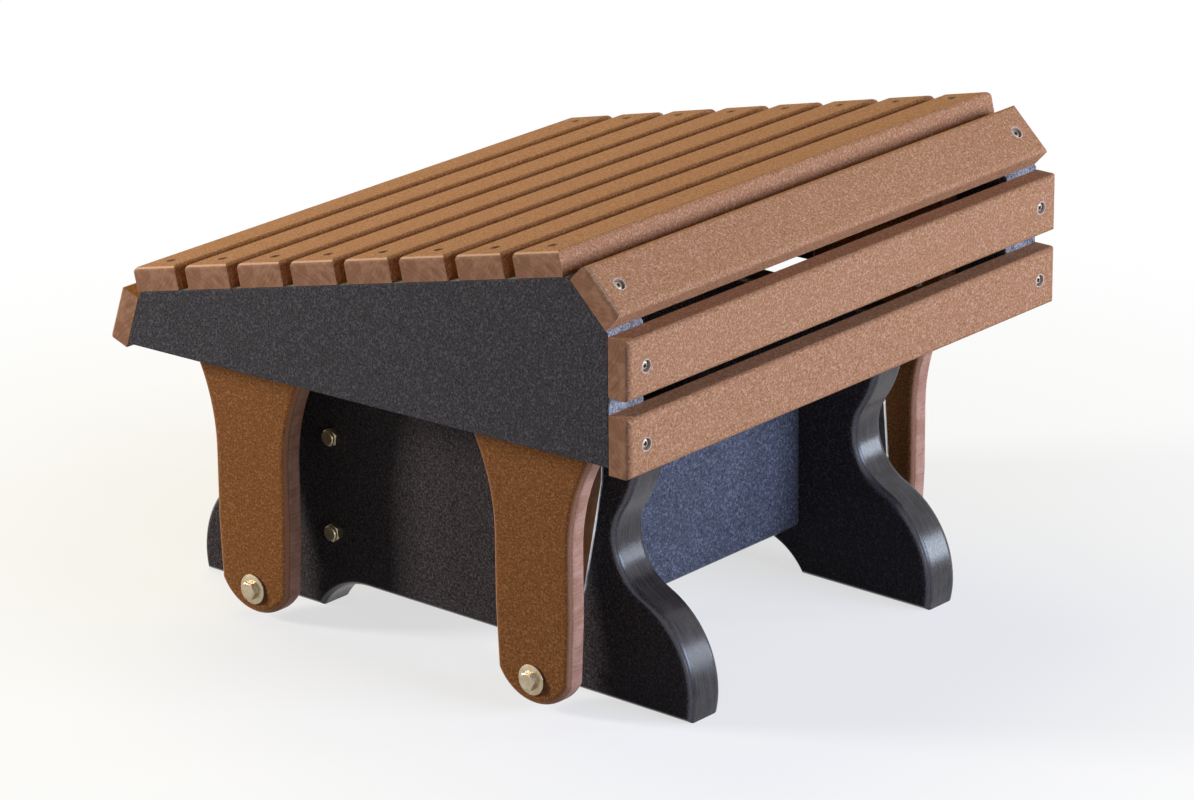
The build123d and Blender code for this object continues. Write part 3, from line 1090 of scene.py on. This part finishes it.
@dataclass
class Assembly:
    """What every sub-assembly shares: a body, a way to dress nodes and one to add pieces."""

    body: Body = Body.BASE
    seed: int = 5
    chance: random.Random = field(init=False)

    def __post_init__(self) -> None:
        """Start the sub-assembly's own fixed run of random turns."""
        self.chance = random.Random(self.seed)

    def dress(self, node: str, material: Material, slot: Slot) -> None:
        """Give a CAD node its material.

        Args:
            node: The node's name.
            material: Its new material.
            slot: Not used.
        """
        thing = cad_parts[node]
        thing.data.materials.clear()
        thing.data.materials.append(material)
        log.info("dressed %s", node)

    def dress_boards(self, nodes: Sequence[str], finish: BoardFinish, slot: Slot, seed: float,
                     step: float = 1.0, **place: Any) -> None:
        """Dress a run of boards, each with a grain of its own.

        Args:
            nodes: The boards' nodes.
            finish: Their finish.
            slot: The record's slot.
            seed: Seed of the first board's grain.
            step: Change of the seed from one board to the next.
            place: What else the boards' places share.
        """
        for index, node in enumerate(nodes):
            material = finish.material(node, BoardPlace(seed=seed + step * index, **place))
            self.dress(node, material, slot)

    def add(self, piece: Object, material: Material, slot: Slot, node: str, body: str | None = None) -> None:
        """Finish a piece: its material, the body that it rides on and the node that it stands for.

        Args:
            piece: The new object.
            material: Its material.
            slot: Not used.
            node: The CAD node that it replaces.
            body: The body's name, where it isn't the sub-assembly's own.
        """
        piece.data.materials.clear()
        piece.data.materials.append(material)
        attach(piece, body or self.body.value)
        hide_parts(node)
        log.info("added %s", piece.name)

    def add_copies(self, model: Object, node: str, label: str, material: Material,
                   slot: Slot = Slot.BOLT_STEEL, at_outer: bool = False, pointing: int = 1,
                   inset: float = 0.0, wobble: float = 0.0, lean: float = 0.0,
                   numbered: bool = True) -> None:
        """Put a copy of a model in the place of each solid of a node, and remove the model.

        Args:
            model: The model, along +X from the origin.
            node: The CAD node.
            label: Start of the copies' names.
            material: Their material.
            slot: The record's slot.
            at_outer: True where the model's origin goes to the solid's outer end.
            pointing: 1 where the model points outwards, -1 where it points inwards.
            inset: How far inside the solid's end the origin goes.
            wobble: Largest chance turn about its axis, in degrees.
            lean: Turn that all copies share, in degrees.
            numbered: True where the copies at each corner are counted in their names.
        """
        counts: dict[str, int] = {}
        for solid in solids_of(node):
            turn = math.radians(lean + self.chance.uniform(-wobble, wobble))
            distance = solid.outer - inset if at_outer else solid.inner + inset
            name = label + "_" + where(solid)
            counts[name] = counts.get(name, 0) + 1
            if numbered:
                name += f"_{counts[name]}"
            place = solid.place_at(distance, pointing, turn)
            self.add(placed_copy(model, name, place), material, slot, node)
        bpy.data.objects.remove(model)


@dataclass
class BaseFrame(Assembly):
    """Base boards, cross panels and the hanger bolts and lock nuts between them."""

    board_seed: float = 1.0
    panel_seed: float = 3.0
    nut_wobble: float = 9.0
    nut_lean: float = 30.0
    bolt: HangerBolt = field(default_factory=HangerBolt)
    nut: LockNut = field(default_factory=LockNut)

    def build(self) -> None:
        """Build and dress the sub-assembly."""
        boards, panels = ("base_board_left", "base_board_right"), ("cross_panel_front", "cross_panel_rear")
        self.dress_boards(boards, BASE_FINISH, Slot.BASE_BLACK, self.board_seed)
        self.dress_boards(panels, CROSS_FINISH, Slot.BASE_BLACK, self.panel_seed, axis=(0, 1, 0))
        zinc = ZINC.material("cross_panel_zinc")
        hole = solids_of("hanger_bolts")[0]
        self.add_copies(self.bolt.model(hole.outer - hole.inner), "hanger_bolts", "hanger_bolt", zinc)
        self.add_copies(self.nut.model(), "cross_panel_nuts", "cross_panel_nut", zinc,
                        wobble=self.nut_wobble, lean=self.nut_lean)
        self.add_rings()

    def add_rings(self) -> None:
        """Put a nylon ring in each nut, of one colour in the upper row and another in the lower."""
        ring = self.nut.ring_model()
        upper = UPPER_INSERT.material("upper_nylon_ring")
        lower = LOWER_INSERT.material("lower_nylon_ring")
        nuts = solids_of("cross_panel_nuts")
        middle = sum(solid.middle.z for solid in nuts) / len(nuts)
        for solid in nuts:
            high = solid.middle.z > middle
            name = f"cross_panel_nut_ring_{where(solid)}_{'upper' if high else 'lower'}"
            piece = placed_copy(ring, name, solid.place_at(solid.inner, 1))
            self.add(piece, upper if high else lower, Slot.BOLT_STEEL, "cross_panel_nuts")
        bpy.data.objects.remove(ring)


@dataclass
class Pivots(Assembly):
    """The four pivots at one height: bolts, washers, spacers and lock nuts."""

    level: str = "upper"
    outwards: int = 1
    bore_radius: float = 4.25 * MM
    bolt_wobble: float = 7.0
    nut_wobble: float = 20.0
    bolt: HexBolt = field(default_factory=HexBolt)
    nut: LockNut = field(default_factory=LockNut)

    def name(self, part: str) -> str:
        """Name of a CAD node or a piece of these pivots."""
        return f"{self.level}_pivot_{part}"

    def build(self) -> None:
        """Build and dress the sub-assembly."""
        zinc = ZINC.material(self.name("zinc"))
        steel = STRAP_STEEL.material(self.name("spacer_steel"))
        nylon = LOWER_INSERT.material(self.name("nylon"))
        ways = {"at_outer": self.outwards < 0, "pointing": self.outwards}
        whole = solids_of(self.name("bolts"))[0]
        head = self.bolt.head_height
        bolt = self.bolt.model(whole.outer - whole.inner - head)
        self.add_copies(bolt, self.name("bolts"), self.name("bolt"), zinc, inset=head,
                        wobble=self.bolt_wobble, numbered=False, **ways)
        for part, material in (("head_washer", zinc), ("nut_washer", zinc), ("spacer", steel)):
            solid = solids_of(self.name(part + "s"))[0]
            ring = RoundPart(solid.radius, self.bore_radius, solid.outer - solid.inner).model(part)
            self.add_copies(ring, self.name(part + "s"), self.name(part), material)
        self.add_copies(self.nut.model(), self.name("nuts"), self.name("nut"), zinc,
                        wobble=self.nut_wobble, **ways)
        self.add_copies(self.nut.ring_model(), self.name("nuts"), self.name("nut_ring"), nylon, **ways)


@dataclass
class GlideLinks(Assembly):
    """The four steel straps and their plastic bushings."""

    edge_round: float = 0.45 * MM
    sharp_angle: float = 50.0
    flat_angle: float = 0.5

    def build(self) -> None:
        """Build and dress the sub-assembly."""
        for corner in ("front_left", "front_right", "rear_left", "rear_right"):
            link, bushings = "link_" + corner, "link_bushings_" + corner
            steel = STRAP_STEEL.material(link + "_steel")
            self.add(self.strap(link), steel, Slot.LINK_STEEL, link, link)
            self.dress(bushings, BUSHING.material(bushings), Slot.BUSHING_PLASTIC)

    def strap(self, node: str) -> Object:
        """Copy a strap and round its edges.

        Args:
            node: The CAD node to copy.

        Returns:
            The strap with rounded edges.
        """
        strap = placed_copy(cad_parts[node], node + "_strap", Matrix.Identity(4))
        select_only(strap)
        bpy.ops.mesh.customdata_custom_splitnormals_clear()
        with editing(strap):
            bpy.ops.mesh.remove_doubles(threshold=MERGE_DISTANCE)
            bpy.ops.mesh.dissolve_limited(angle_limit=math.radians(self.flat_angle))
        soften(strap, self.edge_round, self.sharp_angle)
        return finish_mesh(strap)


@dataclass
class SidePanels(Assembly):
    """The two side panels that carry the slats."""

    body: Body = Body.SEAT
    panel_seed: float = 7.0

    def build(self) -> None:
        """Dress the panels."""
        panels = ("side_panel_left", "side_panel_right")
        self.dress_boards(panels, SIDE_FINISH, Slot.BLACK_BOARD, self.panel_seed)


@dataclass
class Legs(Assembly):
    """The four hanger legs and the screws that hold them."""

    body: Body = Body.SEAT
    leg_seed: float = 11.0
    seed_step: float = 0.5
    head_height: float = 2.6 * MM
    shank_radius: float = 2.1 * MM
    screw_wobble: float = 180.0

    def build(self) -> None:
        """Build and dress the sub-assembly."""
        legs = ("leg_front_right", "leg_front_left", "leg_rear_right", "leg_rear_left")
        self.dress_boards(legs, LEG_FINISH, Slot.LEG_BOARD, self.leg_seed, self.seed_step, turn=math.pi / 2)
        whole = solids_of("leg_screws")[0]
        length = whole.outer - whole.inner - self.head_height
        screw = WoodScrew(whole.radius, self.head_height, self.shank_radius, length).model()
        self.add_copies(screw, "leg_screws", "leg_screw", STAINLESS.material("leg_screw_steel"),
                        Slot.SCREW_STEEL, inset=self.head_height, wobble=self.screw_wobble)


@dataclass
class SlatPose:
    """Where a slat lies: the middle of its back face, how far it is turned and how thick it is."""

    origin: Vector
    turn: float
    thickness: float
    end_normal: ClassVar[float] = 0.1

    @classmethod
    def of(cls, node: str) -> "SlatPose":
        """Read a slat's place from its node, whose largest face is its back.

        Args:
            node: The slat's node.

        Returns:
            Its place.
        """
        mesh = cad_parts[node].data
        ways = [(round(face.normal.y, 2), round(face.normal.z, 2)) for face in mesh.polygons]
        areas: dict[tuple[float, float], float] = {}
        for face, way in zip(mesh.polygons, ways):
            if abs(face.normal.x) < cls.end_normal:
                areas[way] = areas.get(way, 0) + face.area
        back = max(areas, key=areas.get)
        normals = [face.normal for face, way in zip(mesh.polygons, ways) if way == back]
        outward = -sum(normals, Vector()).normalized()
        width_way = outward.cross(ACROSS)
        depths = [vertex.co.dot(outward) for vertex in mesh.vertices]
        widths = [vertex.co.dot(width_way) for vertex in mesh.vertices]
        middle = (min(widths) + max(widths)) / 2
        origin = outward * min(depths) + width_way * middle
        return cls(origin, math.atan2(-outward.y, outward.z), max(depths) - min(depths))

    def matrix(self) -> Matrix:
        """Place of the slat's own axes: X along it, Z out of its face."""
        return Matrix.Translation(self.origin) @ Matrix.Rotation(self.turn, 4, "X")


@dataclass
class Deck(Assembly):
    """The twelve slats and their screws."""

    body: Body = Body.SEAT
    slat_seed: float = 20.0
    head_radius: float = 3.65 * MM
    head_height: float = 2.2 * MM
    sink: float = 1.5 * MM
    hole_radius: float = 4.4 * MM
    deck_rim_share: float = 0.15
    front_rim_share: float = 0.7
    shank_radius: float = 2.1 * MM
    screw_length: float = 44.0 * MM

    def build(self) -> None:
        """Build and dress the sub-assembly."""
        names = [f"top_slat_{index + 1}" for index in range(8)]
        names += ["bevel_slat", "front_slat_upper", "front_slat_lower", "nose_slat"]
        reach = solids_of("side_panel_right")[0].middle.x
        steel = STAINLESS.material("slat_screw_steel")
        screw = WoodScrew(self.head_radius, self.head_height, self.shank_radius, self.screw_length).model()
        upright = Matrix.Rotation(math.pi / 2, 4, "Y")
        for index, name in enumerate(names):
            slat = SlatPose.of(name)
            rim_share = self.deck_rim_share if name.startswith("top") else self.front_rim_share
            place = BoardPlace(slat.origin, slat.turn, self.slat_seed + index, reach, self.hole_radius,
                               rim_share)
            self.dress(name, DECK_FINISH.material(name, place), Slot.DECK)
            seat = slat.thickness - self.sink - self.head_height
            for along, word in ((-reach, "left"), (reach, "right")):
                inwards = Matrix.Translation((along, 0, seat)) @ upright
                turn = Matrix.Rotation(self.chance.uniform(0, math.pi), 4, "X")
                piece = placed_copy(screw, f"{name}_screw_{word}", slat.matrix() @ inwards @ turn)
                self.add(piece, steel, Slot.SCREW_STEEL, "slat_screws")
        bpy.data.objects.remove(screw)


# ---------------------------------------------------------------------------
# Studio
# ---------------------------------------------------------------------------

@dataclass(frozen=True)
class Softbox:
    """Square of light that faces the ottoman."""

    name: str
    towards: tuple[float, float, float]
    distance: float
    size: tuple[float, float]
    level: float
    colour: Colour

    def place(self, aim: Vector) -> None:
        """Add the light.

        Args:
            aim: The point that it faces. A level of 1 renders a colour there about as it is written.
        """
        away = Vector(self.towards).normalized()
        light = bpy.data.lights.new(self.name, "AREA")
        light.shape = "RECTANGLE"
        light.size, light.size_y = self.size
        light.color = self.colour
        light.energy = self.level * (math.pi * self.distance) ** 2
        lamp = bpy.data.objects.new(self.name, light)
        lamp.location = aim + away * self.distance
        lamp.rotation_euler = away.to_track_quat("Z", "Y").to_euler()
        bpy.context.scene.collection.objects.link(lamp)
        log.info("placed light %s", self.name)


@dataclass
class Studio:
    """Camera, soft lights, pale floor and white surroundings."""

    camera_place: tuple[float, float, float] = (-2.885, -2.4948, 1.519)
    camera_yaw: float = 49.285
    camera_pitch: float = 19.73
    camera_roll: float = -0.54
    lens: float = 162.34
    sensor_width: float = 36.0
    clip_end: float = 100.0
    floor_size: float = 60.0
    floor_fade: tuple[float, float] = (0.3, 1.0)
    floor_glow: float = 0.66
    floor_grey: float = 0.3
    floor_pale: float = 0.96
    ambient: float = 0.03
    lights: Sequence[Softbox] = (
        Softbox("front_light", (0.25, -1.0, 0.28), 4.0, (2.6, 1.5), 1.02, (0.74, 0.86, 1.27)),
        Softbox("window_light", (-0.616, 0.788, 0.28), 3.0, (0.6, 0.6), 0.98, (1.0, 0.96, 0.9)),
        Softbox("top_light", (0.15, 0.5, 1.0), 3.0, (2.2, 1.6), 0.4, (1.0, 0.86, 0.27)),
        Softbox("right_strip", (0.75, -0.7, 0.08), 3.0, (0.35, 1.1), 0.3, (0.8, 0.92, 1.08)),
        Softbox("left_strip", (-0.45, -0.75, 0.14), 3.0, (0.12, 0.9), 0.08, (0.8, 0.92, 1.08)),
    )

    def build(self) -> None:
        """Build the studio."""
        self.add_camera()
        aim = Vector((0, 0, cad_box[1].z / 2))
        for light in self.lights:
            light.place(aim)
        self.add_floor()
        self.add_world()
        bpy.context.scene.view_settings.view_transform = "Standard"

    def add_camera(self) -> None:
        """Add the camera at the viewing angle of the picture."""
        data = bpy.data.cameras.new("camera")
        data.lens, data.sensor_width, data.clip_end = self.lens, self.sensor_width, self.clip_end
        camera = bpy.data.objects.new("camera", data)
        place = Matrix.Translation(self.camera_place)
        turns = ((-self.camera_yaw, "Z"), (90 - self.camera_pitch, "X"), (self.camera_roll, "Z"))
        for angle, axis in turns:
            place = place @ Matrix.Rotation(math.radians(angle), 4, axis)
        camera.matrix_world = place
        bpy.context.scene.collection.objects.link(camera)
        bpy.context.scene.camera = camera

    def background_ray(self, graph: Graph) -> Socket:
        """Make the mask of the rays that see the white surroundings.

        Args:
            graph: The floor's or the world's graph.

        Returns:
            The mask.
        """
        path = graph.node("LightPath").outputs
        seen = graph.math("MAXIMUM", path["Is Camera Ray"], path["Is Glossy Ray"])
        return graph.math("MAXIMUM", seen, path["Is Transmission Ray"])

    def add_floor(self) -> None:
        """Add the floor, which is white to the camera and keeps the ottoman's soft shadow."""
        floor = primitive(bpy.ops.mesh.primitive_plane_add, "floor", size=self.floor_size)
        graph, material = Graph.of_material("floor")
        seen = self.background_ray(graph)
        paint = graph.mix(seen, (self.floor_grey,) * 3, (self.floor_pale,) * 3)
        shadowed = graph.node("BsdfDiffuse", {"Color": paint}).outputs[0]
        white = graph.node("Emission", {"Color": (1, 1, 1)}).outputs[0]
        reach = graph.measure("LENGTH", graph.node("TexCoord").outputs["Object"])
        fade = graph.spread(reach, *self.floor_fade, self.floor_glow, 1.0)
        graph.show(graph.node("MixShader", {0: graph.times(fade, seen), 1: shadowed, 2: white}))
        floor.data.materials.append(material)

    def add_world(self) -> None:
        """Make the surroundings white to look at, and a weak fill light."""
        world = bpy.data.worlds.new("studio")
        world.use_nodes = True
        world.node_tree.nodes.clear()
        graph = Graph(world.node_tree)
        colour = graph.mix(self.background_ray(graph), (self.ambient,) * 3, (1, 1, 1))
        graph.show(graph.node("Background", {"Color": colour}), "OutputWorld")
        bpy.context.scene.world = world


def main() -> None:
    """Build the sub-assemblies in order, then the studio."""
    logging.basicConfig(level=logging.INFO, format="%(message)s")
    parts = [
        BaseFrame(),
        Pivots(body=Body.BASE, level="upper", outwards=1, seed=2),
        Pivots(body=Body.SEAT, level="lower", outwards=-1, seed=3),
        GlideLinks(),
        SidePanels(),
        Legs(),
        Deck(),
        Studio(),
    ]
    for part in parts:
        part.build()


if __name__ == "__main__":
    main()
